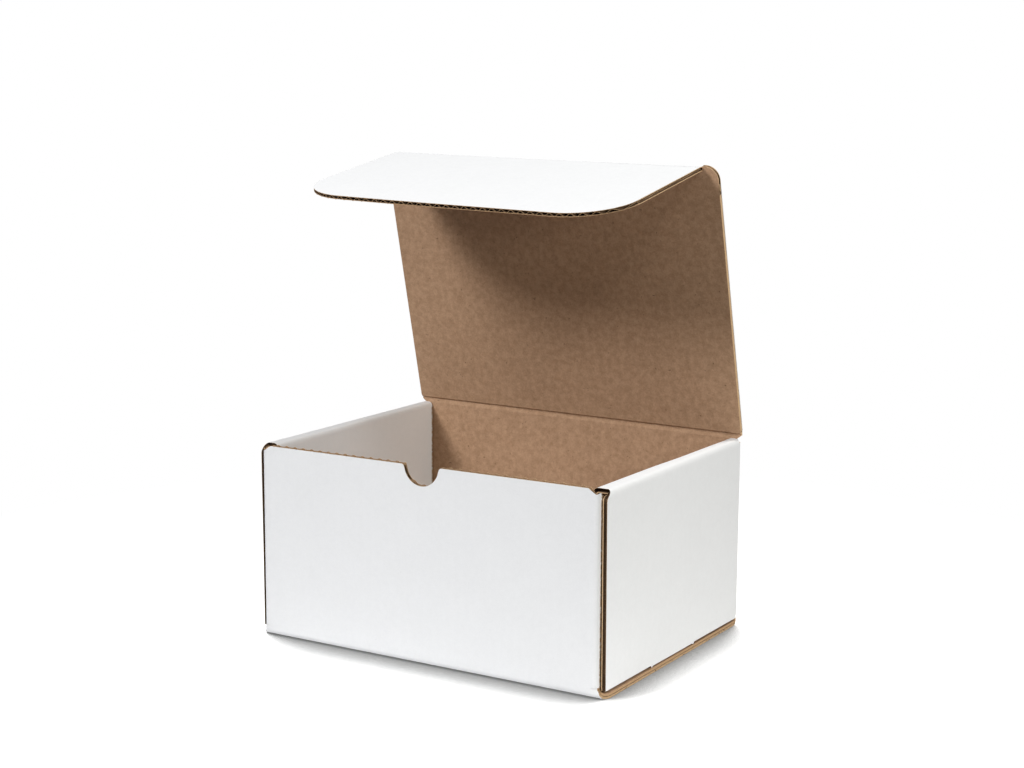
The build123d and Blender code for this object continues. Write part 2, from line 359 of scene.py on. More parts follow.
def worn_shaded_paper(name):
    """White liner cracked along a fold, with the brown fibres showing in short dashes; its white is greyed
    and warmed as painted shade.
    """
    material, tree, shader = new_material(name)
    dashes = noise_value(tree, (1, 1, 1.6), 260.0, 3.0, 0.6)
    fibre = noise_value(tree, (1, 1, 1), 2200.0, 3.0)
    brown = mixed(tree, fibre, (0.20, 0.12, 0.065), (0.55, 0.38, 0.23))
    # Painted shade: the pale part is a greyed, warm white, darker than the white liner.
    tone = mixed(tree, ranged(tree, dashes, 0.40, 0.52, 0.0, 0.9), (0.62, 0.58, 0.52), brown)
    tree.links.new(tone, shader.inputs["Base Color"])
    shader.inputs["Roughness"].default_value = 0.9
    shader.inputs["Specular IOR Level"].default_value = 0.15
    return material


WHITE = ((0.80, 0.808, 0.822), (0.765, 0.773, 0.785), (0.83, 0.838, 0.85))
KRAFT = ((0.445, 0.277, 0.168), (0.330, 0.197, 0.113), (0.550, 0.353, 0.224))
white_x = paper("white_liner_x", *WHITE, "X", 0.12, 0.000012, 0.06, 0.62, 0.35)
white_y = paper("white_liner_y", *WHITE, "Y", 0.12, 0.000012, 0.06, 0.62, 0.35)
kraft_x = paper("kraft_liner_x", *KRAFT, "X", 0.16, 0.000010, 0.7, 0.85, 0.7)
kraft_y = paper("kraft_liner_y", *KRAFT, "Y", 0.16, 0.000010, 0.7, 0.85, 0.7)
cut_liner = raw_paper("cut_liner", (0.62, 0.42, 0.24), (0.46, 0.29, 0.15), (0.74, 0.54, 0.34), 2500.0)
# Tan of the floor's cut edges, darker than the cut liner: the paper's own tan with painted shade near the
# floor.
torn_rim_painted_shade = raw_paper("torn_rim_painted_shade", (0.48, 0.32, 0.18), (0.28, 0.17, 0.09), (0.64, 0.46, 0.28), 1500.0,
                     0.95, (1, 0.7, 1.5))
fluting = raw_paper("fluting", (0.36, 0.225, 0.125), (0.22, 0.13, 0.07), (0.46, 0.31, 0.18), 1800.0)
worn_fold_painted_shade = worn_shaded_paper("worn_fold_painted_shade")
# Near-black brown for the deep faces of open flutes and grooves: painted shade in the hollows.
flute_hollow_painted_shade = raw_paper("flute_hollow_painted_shade", (0.13, 0.08, 0.045), (0.08, 0.045, 0.025), (0.18, 0.11, 0.065),
                         900.0)
# Darker copy of the cut liner: painted shade for cut rims that face away from the light or lie under an
# overhang.
shaded_cut = raw_paper("shaded_cut", (0.44, 0.28, 0.155), (0.30, 0.18, 0.09), (0.56, 0.38, 0.22), 2500.0)

# Material slots of a sheet. A sheet has either a worn fold with painted shade or a shaded cut edge as its
# last one.
OUTSIDE, INSIDE, CUT, MEDIUM_SLOT, HOLLOW, WORN_SHADE_SLOT = range(6)
SHADED_CUT = WORN_SHADE_SLOT


class Sheet:
    """Collects the surfaces of one folded area of board, in millimetres."""

    def __init__(self):
        self.points = []
        self.faces = []
        self.slots = []

    def grid(self, rows, slot, flip=False):
        """Surface through rows of points; every row is as long as the others."""
        start = len(self.points)
        width = len(rows[0])
        for row in rows:
            self.points.extend(row)
        for i in range(len(rows) - 1):
            for j in range(width - 1):
                a = start + i * width + j
                face = (a, a + 1, a + width + 1, a + width)
                self.faces.append(face[::-1] if flip else face)
                self.slots.append(slot)

    def build(self, name, body, slots, nodes=()):
        """Mesh object of the collected surfaces, riding on a body."""
        mesh = bpy.data.meshes.new(name)
        mesh.from_pydata([tuple(point * MM) for point in self.points], [], self.faces)
        for material in slots:
            mesh.materials.append(material)
        mesh.polygons.foreach_set("material_index", self.slots)
        mesh.validate()
        mesh.shade_smooth()
        mesh.set_sharp_from_angle(angle=math.radians(SMOOTH_ANGLE))
        piece = bpy.data.objects.new(name, mesh)
        bpy.context.scene.collection.objects.link(piece)
        if body:
            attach(piece, body)
        if nodes:
            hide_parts(*nodes)
        return piece


def rough(seed, place, size):
    """Smooth random value from about -1 to 1, the same each run. Every edge has a seed of its own."""
    return noise.noise(Vector((place / size, seed * 7.31, seed * 3.17)))


def eased(share):
    """Share held between 0 and 1, with a gentle start and end."""
    share = min(max(share, 0.0), 1.0)
    return share * share * (3 - 2 * share)


def both_liners(mids, outs):
    """Rows of points on the outer and the inner liner, from middle points and outward directions."""
    outer = [[mid + out * (BOARD / 2) for mid, out in zip(*row)] for row in zip(mids, outs)]
    inner = [[mid - out * (BOARD / 2) for mid, out in zip(*row)] for row in zip(mids, outs)]
    return outer, inner


def pressed_edge(sheet, outer, inner, inward, seed, flip=False):
    """Edge whose cut has crushed the board: closed, slightly rounded and ragged."""
    rows = []
    for share in (0.0, 0.12, 0.3, 0.5, 0.7, 0.88, 1.0):
        side = (2 * share - 1) ** 2
        row = []
        travel = 0.0
        for k, (top, low, away) in enumerate(zip(outer, inner, inward)):
            if k:
                travel += (outer[k] - outer[k - 1]).length
            ragged = 0.3 * rough(seed, travel, 4.0) + 0.2 * rough(seed + share, travel, 1.4)
            depth = 0.4 * side * side + 0.25 * (1 - side) * (1 + ragged * 3)
            row.append(top.lerp(low, share) + away * depth)
        rows.append(row)
    sheet.grid(rows, CUT, flip)


def cut_edge(sheet, outer, inner, inward, seed, flip=False, hollow=None, rims=(LINER, LINER),
             depth=0.75, ridge=1.0, last_slot=CUT):
    """Edge cut along a flute: two liner rims with a ragged groove of crushed fluting between them."""
    rows = [[] for k in range(8)]
    first, last = rims
    core = BOARD - first - last
    travel = 0.0
    for k, (top, low, away) in enumerate(zip(outer, inner, inward)):
        if k:
            travel += (outer[k] - outer[k - 1]).length
        down = (low - top).normalized()
        extra = hollow[k] if hollow else 0.0
        deep = extra + depth * (1 + 0.47 * rough(seed, travel, 5.0) + 0.2 * rough(seed + 1, travel, 1.3))
        shelf = extra * 0.5 + 0.35 + 0.45 * max(0.0, rough(seed + 2, travel, 9.0))
        shelf += 0.2 * rough(seed + 3, travel, 1.1)
        shelf = deep + (shelf - deep) * ridge
        centre = 0.5 + 0.28 * rough(seed + 4, travel, 14.0)
        fuzz = 0.06 * rough(seed + 5, travel, 0.7) + 0.12 * max(0.0, rough(seed + 6, travel, 2.5))
        rows[0].append(top)
        rows[1].append(top + down * first + away * fuzz)
        rows[2].append(top + down * (first + 0.05) + away * deep)
        rows[3].append(top + down * (first + core * (centre - 0.12)) + away * deep)
        rows[4].append(top + down * (first + core * centre) + away * shelf)
        rows[5].append(top + down * (first + core * (centre + 0.16)) + away * deep)
        rows[6].append(low - down * last + away * (deep * 0.9))
        rows[7].append(low - down * last + away * fuzz)
    sheet.grid(rows[0:2], CUT, flip)
    # Painted shade: the groove's deep faces take the near-black hollow material; only a ridge, where there
    # is one, keeps the fluting's colour.
    for start, slot in ((1, HOLLOW), (3, MEDIUM_SLOT if ridge else HOLLOW), (5, HOLLOW)):
        sheet.grid(rows[start:start + 3], slot, flip)
    sheet.grid([rows[7], list(inner)], last_slot, flip)


def flute_wave(place, seed):
    """Wave of the fluting at a place across the flutes, 1 where it touches the inner liner."""
    return math.cos(2 * math.pi * place / PITCH + 0.35 * rough(seed + 1, place, 30.0))


def open_edge(sheet, outer, inner, inward, across, seed, flip=False, crush=0.0, liner=LINER,
              lit=FLUTE_LIT, rim=CUT):
    """Edge cut across the flutes: two liner rims and the wave of fluting running in between them."""
    rims = [[] for k in range(6)]
    wave = [[] for k in range(6)]
    swing = (BOARD - 2 * liner - MEDIUM) / 2
    for top, low, away, place in zip(outer, inner, inward, across):
        down = (low - top).normalized()
        ragged = 0.05 * rough(seed, place, 0.8)
        upper = top + down * liner + away * ragged
        lower = low - down * liner + away * ragged
        for row, (edge, deep) in enumerate(((upper, 0.0), (upper, lit), (upper, FLUTE_DEPTH),
                                            (lower, FLUTE_DEPTH), (lower, lit), (lower, 0.0))):
            rims[row].append(edge + away * deep)
        squash = 1.0 - crush * max(0.0, rough(seed + 2, place, 22.0))
        level = swing * squash * flute_wave(place, seed)
        middle = top + down * (BOARD / 2 + level)
        recess = 0.03 + 0.18 * abs(rough(seed + 3, place, 2.2))
        half = down * (MEDIUM / 2)
        near = recess + lit
        for row, (face, deep) in enumerate(((-1, FLUTE_DEPTH), (-1, near), (-1, recess),
                                            (1, recess), (1, near), (1, FLUTE_DEPTH))):
            wave[row].append(middle + half * face + away * deep)
    sheet.grid([list(outer), rims[0]], rim, flip)
    # Painted shade: faces deeper than lit take the near-black hollow material; the nearer ones keep the
    # fluting's colour.
    for start, end, slot in ((0, 2, MEDIUM_SLOT), (1, 5, HOLLOW), (4, 6, MEDIUM_SLOT)):
        sheet.grid(rims[start:end], slot, flip)
    sheet.grid([rims[5], list(inner)], rim, flip)
    for start, end, slot in ((0, 2, HOLLOW), (1, 5, MEDIUM_SLOT), (4, 6, HOLLOW)):
        sheet.grid(wave[start:end], slot, flip)


def spread(low, high, step, extra=()):
    """Evenly spaced values from low to high with some extra ones."""
    count = max(1, int(math.ceil((high - low) / step)))
    values = {round(low + (high - low) * i / count, 4) for i in range(count + 1)}
    values.update(round(value, 4) for value in extra if low <= value <= high)
    return sorted(values)


def arc(centre, radius, start, end, count):
    """Points and outward directions along an arc in the plane of two axes, angles in degrees."""
    made = []
    for i in range(count + 1):
        turn = math.radians(start + (end - start) * i / count)
        way = (math.cos(turn), math.sin(turn))
        made.append(((centre[0] + radius * way[0], centre[1] + radius * way[1]), way))
    return made


# Front wall, its corner folds and its two flaps

def front_half(x):
    """Half width of the front wall, on the side where x lies."""
    return FRONT_HALF[1 if x > 0 else -1]


def notch_height(place):
    """Top of the front wall: slightly tilted, slanted at its corners and lower in the thumb notch."""
    x = abs(place)
    top = FRONT_TOP + FRONT_TILT * place
    centre = NOTCH_RADIUS + NOTCH_LIP
    if x < math.sqrt(NOTCH_RADIUS ** 2 - NOTCH_LIP ** 2):
        return top - math.sqrt(NOTCH_RADIUS ** 2 - x ** 2)
    if x < centre:
        return top - NOTCH_LIP + math.sqrt(max(NOTCH_LIP ** 2 - (centre - x) ** 2, 0.0))
    over = x - (front_half(place) - SHOULDER)
    if over > SHOULDER_END:
        return top - SHOULDER_DROP + SHOULDER_LIP * (over - SHOULDER_END) / (SHOULDER - SHOULDER_END)
    if over > 0:
        return top - SHOULDER_DROP * over / SHOULDER_END
    return top


def shoulder_crush(place):
    """How much lower the inner liner ends than the outer one at the front wall's slanted corners."""
    over = abs(place) - (front_half(place) - SHOULDER)
    return SHOULDER_CRUSH * min(max(over / SHOULDER_END, 0.0), 1.0)


def front_wall():
    sheet = Sheet()
    ends = [side * (FRONT_HALF[side] - CORNER_BEND) for side in (-1, 1)]
    shoulders = [side * (FRONT_HALF[side] - SHOULDER) for side in (-1, 1)]
    notch = [side * NOTCH_RADIUS * math.sin(math.radians(turn))
             for side in (-1, 1) for turn in range(0, 91, 4)]
    lip = [side * (NOTCH_RADIUS + NOTCH_LIP * (1 - math.cos(math.radians(turn))))
           for side in (-1, 1) for turn in range(0, 91, 15)]
    columns = spread(*ends, FINE, notch + lip + shoulders)
    middle = FRONT_Y + BOARD / 2
    rows = 24
    mids = []
    outs = []
    for i in range(rows + 1):
        share = i / rows
        mids.append([Vector((x, middle, FOLD_RISE + (notch_height(x) - FOLD_RISE) * share))
                     for x in columns])
        outs.append([Vector((0, -1, 0))] * len(columns))
    outer, inner = both_liners(mids, outs)
    inner[-1] = [point + Vector((0, 0, CUT_SLANT + RIM_RISE * max(0.0, flute_wave(point.x, FRONT_SEED))
                                 - shoulder_crush(point.x))) for point in inner[-1]]
    sheet.grid(outer, OUTSIDE)
    sheet.grid(inner, INSIDE, flip=True)
    down = [Vector((0, 0, -1))] * len(columns)
    open_edge(sheet, outer[-1], inner[-1], down, columns, FRONT_SEED, liner=FRONT_LINER)
    for side in (1, -1):
        corner_and_flap(sheet, side)
    slots = [white_x, kraft_x, cut_liner, fluting, flute_hollow_painted_shade, worn_fold_painted_shade]
    return sheet.build("front_wall", "box", slots, ["tray"])


def corner_and_flap(sheet, side):
    """Corner fold of the front wall and the flap behind it, as a line of columns seen from above."""
    centre = (FRONT_HALF[side] - CORNER_BEND, FRONT_Y + CORNER_BEND)
    line = [(Vector((p[0], p[1])), Vector(w)) for p, w in arc(centre, CORNER_BEND - BOARD / 2, -90, 0, 10)]
    end = Vector((outer_at(FLAP_END_Y, side) - BOARD * 1.5 - FLAP_END_GAP, FLAP_END_Y))
    start = Vector((FRONT_HALF[side] - BOARD / 2 - FLAP_SET_IN[side], centre[1] + 2.0))
    way = Vector((end.y - start.y, start.x - end.x)).normalized()
    fold_end = centre[1] + 0.01
    count = math.ceil((end - start).length / FINE)
    for k in range(count + 1):
        line.append((start.lerp(end, k / count), way))
    mids = []
    outs = []
    rows = 12
    for i in range(rows + 1):
        row = []
        for place, out in line:
            if place.y < fold_end:
                top = notch_height(side * (place.x + out.x * BOARD / 2))
            else:
                near = max(0.0, 1 - (place.y - centre[1]) / FLAP_DIP_LENGTH)
                top = FLAP_TOP - FLAP_DIP * near ** 0.5
            low = FOLD_RISE if place.y < FRONT_Y + FLOOR_BEND + BOARD else FLAP_LOW
            row.append(Vector((side * place.x, place.y, low + (top - low) * i / rows)))
        mids.append(row)
        outs.append([Vector((side * out.x, out.y, 0)) for place, out in line])
    outer, inner = both_liners(mids, outs)
    inner[-1] = [point - Vector((0, 0, shoulder_crush(point.x) * (place.y < fold_end)))
                 for point, (place, out) in zip(inner[-1], line)]
    # Worn strip with painted shade where the corner fold meets its flap.
    worn_shade_from, worn_shade_to = 9, 15
    for part, slot in ((slice(0, worn_shade_from + 1), OUTSIDE), (slice(worn_shade_from, worn_shade_to + 1), WORN_SHADE_SLOT),
                       (slice(worn_shade_to, None), OUTSIDE)):
        sheet.grid([row[part] for row in outer], slot, flip=side < 0)
    sheet.grid(inner, INSIDE, flip=side > 0)
    down = [Vector((0, 0, -1))] * len(line)
    travel = [0.0]
    for before, after in zip(line, line[1:]):
        travel.append(travel[-1] + (after[0] - before[0]).length)
    open_edge(sheet, outer[-1], inner[-1], down, travel, 30 + side, flip=side < 0)
    sheet.grid([outer[0], inner[0]], CUT, side > 0)
    ends = [[row[-1] for row in outer], [row[-1] for row in inner]]
    cut_edge(sheet, ends[0], ends[1], [Vector((0, -1, 0))] * len(mids), 40 + side, flip=side > 0)


# Floor with the lowest part of the front and back walls

def floor_side(side, y, travel):
    """Half width of the floor: it stands out beyond the walls and narrows into the folds at both ends."""
    full = FLOOR_FRONT[side] + (FLOOR_REAR - FLOOR_FRONT[side]) * (y - FRONT_Y) / (BACK_Y - FRONT_Y)
    narrow = FRONT_HALF[side] - NOSE_SET_IN
    return narrow + (full - narrow) * eased(travel / NOSE_LENGTH)


def corner_set_back(x, z):
    """How far the strip's corners turn back towards the upright corner folds above them."""
    over = min(max(abs(x) - (front_half(x) - CORNER_BEND), 0.0), CORNER_BEND)
    high = min(max((z - BOARD / 2) / (FOLD_RISE - BOARD / 2), 0.0), 1.0)
    return (CORNER_BEND - math.sqrt(CORNER_BEND ** 2 - over ** 2)) * high


def floor_strip():
    sheet = Sheet()
    radius = FLOOR_BEND - BOARD / 2
    line = [((FRONT_Y + BOARD / 2, FOLD_RISE + (FLOOR_BEND - FOLD_RISE) * k / 3), (-1, 0))
            for k in range(3)]
    line += arc((FRONT_Y + FLOOR_BEND, FLOOR_BEND), radius, 180, 270, 10)
    steps = 180
    for i in range(1, steps):
        y = FRONT_Y + FLOOR_BEND + (BACK_Y - FRONT_Y - 2 * FLOOR_BEND) * i / steps
        line.append(((y, BOARD / 2), (0, -1)))
    line += arc((BACK_Y - FLOOR_BEND, FLOOR_BEND), radius, 270, 360, 10)
    line += [((BACK_Y - BOARD / 2, FLOOR_BEND + (FOLD_RISE - FLOOR_BEND) * k / 3), (1, 0))
             for k in range(1, 4)]
    travel = [0.0]
    for (before, way), (after, way) in zip(line, line[1:]):
        travel.append(travel[-1] + math.dist(before, after))
    shares = [k / 30 - 1 for k in range(61)]
    mids = []
    for ((y, z), way), gone in zip(line, travel):
        halves = [floor_side(side, y, min(gone, travel[-1] - gone)) for side in (1, -1)]
        xs = [halves[0 if f > 0 else 1] * f for f in shares]
        mids.append([Vector((x, y + corner_set_back(x, z) * (1 if y < 0 else -1), z)) for x in xs])
    outs = [[Vector((0, *way))] * len(shares) for place, way in line]
    outer, inner = both_liners(mids, outs)
    sheet.grid(outer, OUTSIDE, flip=True)
    sheet.grid(inner, INSIDE)
    for row in (0, -1):
        sheet.grid([outer[row], inner[row]], CUT)
    for side, column in ((1, -1), (-1, 0)):
        rim_out = [row[column] for row in outer]
        rim_in = [row[column] for row in inner]
        inward = [Vector((-side, 0, 0))] * len(line)
        cut_edge(sheet, rim_out, rim_in, inward, 50 + side, side < 0, rims=FLOOR_RIMS, depth=0.6, ridge=0.5,
                 last_slot=SHADED_CUT)
    slots = [white_x, kraft_x, torn_rim_painted_shade, torn_rim_painted_shade, flute_hollow_painted_shade, shaded_cut]
    return sheet.build("floor_strip", "box", slots)


# Back wall and its corner folds

def back_wall():
    sheet = Sheet()
    flat_half = BACK_HALF - CORNER_BEND
    top = HINGE.z - CREASE
    columns = spread(-flat_half, flat_half, 8.0)
    heights = spread(FOLD_RISE, top, 6.0)
    middle = BACK_Y - BOARD / 2
    mids = [[Vector((x, middle, z)) for x in columns] for z in heights]
    outs = [[Vector((0, 1, 0))] * len(columns) for z in heights]
    outer, inner = both_liners(mids, outs)
    sheet.grid(outer, OUTSIDE, flip=True)
    sheet.grid(inner, INSIDE)
    for side in (1, -1):
        centre = (flat_half, BACK_Y - CORNER_BEND)
        line = arc(centre, CORNER_BEND - BOARD / 2, 90, 0, 10)
        rows = []
        for z in spread(FOLD_RISE, BACK_FOLD_TOP, 6.0):
            rows.append([(Vector((side * x, y, z)), Vector((side * w[0], w[1], 0))) for (x, y), w in line])
        outer = [[mid + out * (BOARD / 2) for mid, out in row] for row in rows]
        inner = [[mid - out * (BOARD / 2) for mid, out in row] for row in rows]
        sheet.grid(outer, OUTSIDE, flip=side > 0)
        sheet.grid(inner, INSIDE, flip=side < 0)
        sheet.grid([outer[-1], inner[-1]], CUT)
        sheet.grid([outer[0], inner[0]], CUT)
    return sheet.build("back_wall", "box", [white_x, kraft_x, cut_liner, fluting, flute_hollow_painted_shade])


# Side walls: outer panel, spine and inner panel in one hook

def outer_at(y, side):
    """Outer face of the side wall at y. At its front the right panel stands out and the left one in."""
    at_front = OUTER_HALF + PANEL_FLARE[side]
    return at_front + (BACK_HALF - at_front) * (y - PANEL_FRONT_Y) / (REAR_Y - PANEL_FRONT_Y)


def inner_at(y, side):
    """Inside face of the side wall at y, a little further out behind the front flap's end."""
    return INNER_FRONT[side] + INNER_STEP * eased((y - FLAP_END_Y) / INNER_EASE + 0.5)


def panel_low(y):
    """Lower edge of the outer panel at y, lower along its middle foot."""
    into = min(y - FOOT_FRONT, FOOT_REAR - y)
    nub = NUB_DROP * math.exp(-((into - NUB_WIDTH) / NUB_WIDTH) ** 2)
    return PANEL_LOW + (FOOT_LOW - PANEL_LOW) * eased(into / FOOT_EASE + 0.5) - nub


def side_row(y, side, part, share):
    """Middle point and outward direction of the side wall's hook at y."""
    out_x = outer_at(y, side) - BOARD / 2
    in_x = inner_at(y, side) + BOARD / 2
    top = WALL_TOP - BOARD / 2
    bend = SPINE_BEND - BOARD / 2
    if part == "outer":
        low = panel_low(y)
        place = (out_x, low + (top - bend - low) * share)
        way = (1, 0)
    elif part == "fold":
        turn = math.radians(90 * share)
        way = (math.cos(turn), math.sin(turn))
        place = (out_x - bend + bend * way[0], top - bend + bend * way[1])
    elif part == "spine":
        place = (out_x - bend + (in_x - out_x + 2 * bend) * share, top)
        way = (0, 1)
    elif part == "inner_fold":
        turn = math.radians(90 + 90 * share)
        way = (math.cos(turn), math.sin(turn))
        place = (in_x + bend + bend * way[0], top - bend + bend * way[1])
    else:
        place = (in_x, top - bend + (INNER_LOW - top + bend) * share)
        way = (-1, 0)
    return Vector((side * place[0], y, place[1])), Vector((side * way[0], 0, way[1]))


def hook_front(part, share, side):
    """Front end of the side wall at each part of its hook."""
    spine_end = FRONT_Y + SPINE_END[side]
    if part == "outer":
        into = max(0.0, share - PANEL_TURN) / (1 - PANEL_TURN)
        return FRONT_Y + PANEL_SETBACK - PANEL_LEAN * share + PANEL_TURN_BACK * into * into
    if part == "fold":
        fold_start = FRONT_Y + FOLD_SETBACK
        return fold_start + (spine_end - fold_start) * math.sin(math.radians(90 * share))
    if part == "spine":
        return spine_end
    if part == "inner_fold":
        return spine_end - SPINE_NOSE * share
    return FRONT_Y + INNER_SETBACK


def side_wall(side):
    sheet = Sheet()
    steps = [end + FOOT_EASE * k / 4 for end in (FOOT_FRONT, FOOT_REAR) for k in range(-2, 3)]
    columns = spread(PANEL_FRONT_Y, REAR_Y, FINE, steps)
    shares = [(y - PANEL_FRONT_Y) / (REAR_Y - PANEL_FRONT_Y) for y in columns]
    path = [("outer", k / 20) for k in range(20)] + [("outer", PANEL_TURN), ("outer", (1 + PANEL_TURN) / 2)]
    path += [("fold", k / 8) for k in range(8)]
    path += [("spine", k / 3) for k in range(3)]
    path += [("inner_fold", k / 8) for k in range(8)]
    path += [("inner", k / 16) for k in range(17)]
    mids = []
    outs = []
    for part, share in path:
        begin = hook_front(part, share, side)
        made = [side_row(begin + (REAR_Y - begin) * f, side, part, share) for f in shares]
        mids.append([pair[0] for pair in made])
        outs.append([pair[1] for pair in made])
    outer, inner = both_liners(mids, outs)
    face_start = [part for part, share in path].index("inner")
    sheet.grid(outer[:face_start + 1], OUTSIDE, flip=side < 0)
    sheet.grid([row[:-WORN_SHADE_COLUMNS] for row in outer[face_start:]], OUTSIDE, flip=side < 0)
    sheet.grid([row[-WORN_SHADE_COLUMNS - 1:] for row in outer[face_start:]], WORN_SHADE_SLOT, flip=side < 0)
    sheet.grid(inner, INSIDE, flip=side > 0)
    up = [Vector((0, 0, 1))] * len(columns)
    along = [point.y for point in outer[0]]
    open_edge(sheet, outer[0], inner[0], up, along, 60 + side, flip=side > 0, lit=EDGE_LIT)
    sheet.grid([outer[-1], inner[-1]], CUT, side < 0)
    back = [Vector((0, 1, 0))] * len(path)
    hollow = [HOLLOW_PANEL if part in ("outer", "inner") else HOLLOW_SPINE[side] for part, share in path]
    ends = [row[0] for row in outer], [row[0] for row in inner]
    cut_edge(sheet, *ends, back, 70 + side, side < 0, hollow, rims=HOLLOW_RIMS, ridge=0.0)
    forward = [Vector((0, -1, 0))] * len(path)
    ends = [row[-1] for row in outer], [row[-1] for row in inner]
    cut_edge(sheet, *ends, forward, 80 + side, flip=side > 0)
    name = "side_wall_right" if side > 0 else "side_wall_left"
    return sheet.build(name, "box", [white_y, kraft_y, cut_liner, fluting, flute_hollow_painted_shade, worn_fold_painted_shade])


# Lid

def lid_place(x, along):
    """Point of the lid's middle surface, at a distance along it from its lower fold."""
    return Vector((x, HINGE.y, HINGE.z)) + LID_UP * along


def lid_half(along):
    """Half width of the lid, with small slanted corners at its lower fold."""
    return LID_HALF - HEEL_WIDTH * max(0.0, 1 - along / HEEL_HEIGHT)


def lid():
    sheet = Sheet()
    top = LID_REACH - TUCK_CREASE
    shoulder_low = LID_LENGTH - LID_CORNER - CORNER_ROOM
    shares = [k / 36 - 1 for k in range(73)]
    heel_rows = [(CREASE + HEEL_HEIGHT) / 2, HEEL_HEIGHT]
    for alongs, full in ((spread(CREASE, shoulder_low, LID_STEP, heel_rows), True),
                         (spread(shoulder_low, top, 3.0), False)):
        mids = [[lid_place((lid_half(a) if full else TUCK_HALF) * f, a) for f in shares] for a in alongs]
        outs = [[LID_OUT] * len(shares) for a in alongs]
        outer, inner = both_liners(mids, outs)
        sheet.grid(outer, OUTSIDE, flip=True)
        sheet.grid(inner, INSIDE)
        if full:
            for side, column in ((1, -1), (-1, 0)):
                way = [Vector((-side, 0, 0))] * len(alongs)
                rims = [row[column] for row in outer], [row[column] for row in inner]
                pressed_edge(sheet, *rims, way, 90 + side, flip=side > 0)
    for side in (1, -1):
        shoulder(sheet, side, shoulder_low)
    slots = [white_x, kraft_x, cut_liner, fluting, flute_hollow_painted_shade]
    return sheet.build("lid_sheet", "lid_leaf", slots, ["lid"])


def shoulder(sheet, side, low):
    """Upper corner of the lid beside the tuck flap."""
    corner = LID_HALF - LID_CORNER
    xs = [TUCK_HALF, (TUCK_HALF + corner) / 2]
    xs += [corner + LID_CORNER * math.sin(math.radians(turn)) for turn in range(0, 91, 6)]
    high = LID_LENGTH - LID_CORNER - SHOULDER_SINK[side]
    tops = [high + math.sqrt(max(LID_CORNER ** 2 - max(x - corner, 0) ** 2, 0)) for x in xs]
    rows = [[lid_place(side * x, low + (top - low) * k / 6) for x, top in zip(xs, tops)] for k in range(7)]
    outer, inner = both_liners(rows, [[LID_OUT] * len(xs)] * 7)
    sheet.grid(outer, OUTSIDE, flip=side > 0)
    sheet.grid(inner, INSIDE, flip=side < 0)
    down = [-LID_UP] * len(xs)
    open_edge(sheet, outer[-1], inner[-1], down, xs, 100 + side, flip=side < 0)
    for column, way in ((0, side), (-1, -side)):
        inward = [Vector((way, 0, 0))] * len(rows)
        rims = [row[column] for row in outer], [row[column] for row in inner]
        cut_edge(sheet, *rims, inward, 110 + side + column, flip=(way > 0))


# Tuck flap

def flap_place(x, along):
    """Point of the flap's middle surface: the flap is a little twisted, higher on its left."""
    side = -x / TUCK_HALF
    lift = (FLAP_LIFT + FLAP_TWIST * side) * along / TUCK_REACH + FLAP_CURL * max(side, 0.0) ** 2
    fold = Vector((x + FLAP_SKEW * along / TUCK_REACH, TUCK.y, TUCK.z))
    return fold + FLAP_ALONG * along + FLAP_OUT * lift


def flap_reach(x):
    """Reach of the flap's front edge at x, less at its rounded corners."""
    over = abs(x) - (TUCK_HALF - TUCK_CORNER)
    if over <= 0:
        return TUCK_REACH
    return TUCK_REACH - TUCK_CORNER + math.sqrt(max(TUCK_CORNER ** 2 - over ** 2, 0.0))


def tuck_flap():
    sheet = Sheet()
    round_start = TUCK_HALF - TUCK_CORNER
    extra = [side * (round_start + TUCK_CORNER * math.sin(math.radians(turn)))
             for side in (1, -1) for turn in range(50, 91, 2)]
    columns = spread(-TUCK_HALF, TUCK_HALF, FINE, extra)
    rows = 22
    mids = []
    for i in range(rows + 1):
        reach = [flap_reach(x) - (0.0 if i == rows else PRESSED_REACH) - TUCK_CREASE for x in columns]
        share = min(i / (rows - 1), 1.0)
        mids.append([flap_place(x, TUCK_CREASE + length * share) for x, length in zip(columns, reach)])
    outer = [[mid + FLAP_OUT * (BOARD / 2) for mid in row] for row in mids]
    inner = [[mid - FLAP_OUT * (BOARD / 2) for mid in row] for row in mids]
    pressed = [PRESSED_DEPTH + PRESSED_LEFT * max(0.0, -x / TUCK_HALF) for x in columns]
    inner[-1] = [point + FLAP_OUT * depth for point, depth in zip(inner[-1], pressed)]
    sheet.grid(outer, OUTSIDE, flip=True)
    sheet.grid(inner, INSIDE)
    back = [-FLAP_ALONG] * len(columns)
    open_edge(sheet, outer[-1], inner[-1], back, columns, 120, crush=0.3, liner=FLAP_LINER, lit=EDGE_LIT,
              rim=SHADED_CUT)
    for side, column in ((1, -1), (-1, 0)):
        way = [Vector((-side, 0, 0))] * (rows + 1)
        ends = [row[column] for row in outer], [row[column] for row in inner]
        cut_edge(sheet, *ends, way, 130 + side, flip=side > 0)
    slots = [white_x, kraft_x, cut_liner, fluting, flute_hollow_painted_shade, shaded_cut]
    return sheet.build("tuck_sheet", "flap_leaf", slots, ["tuck_flap"])


# Creases across the lid's lower fold and the tuck flap's fold

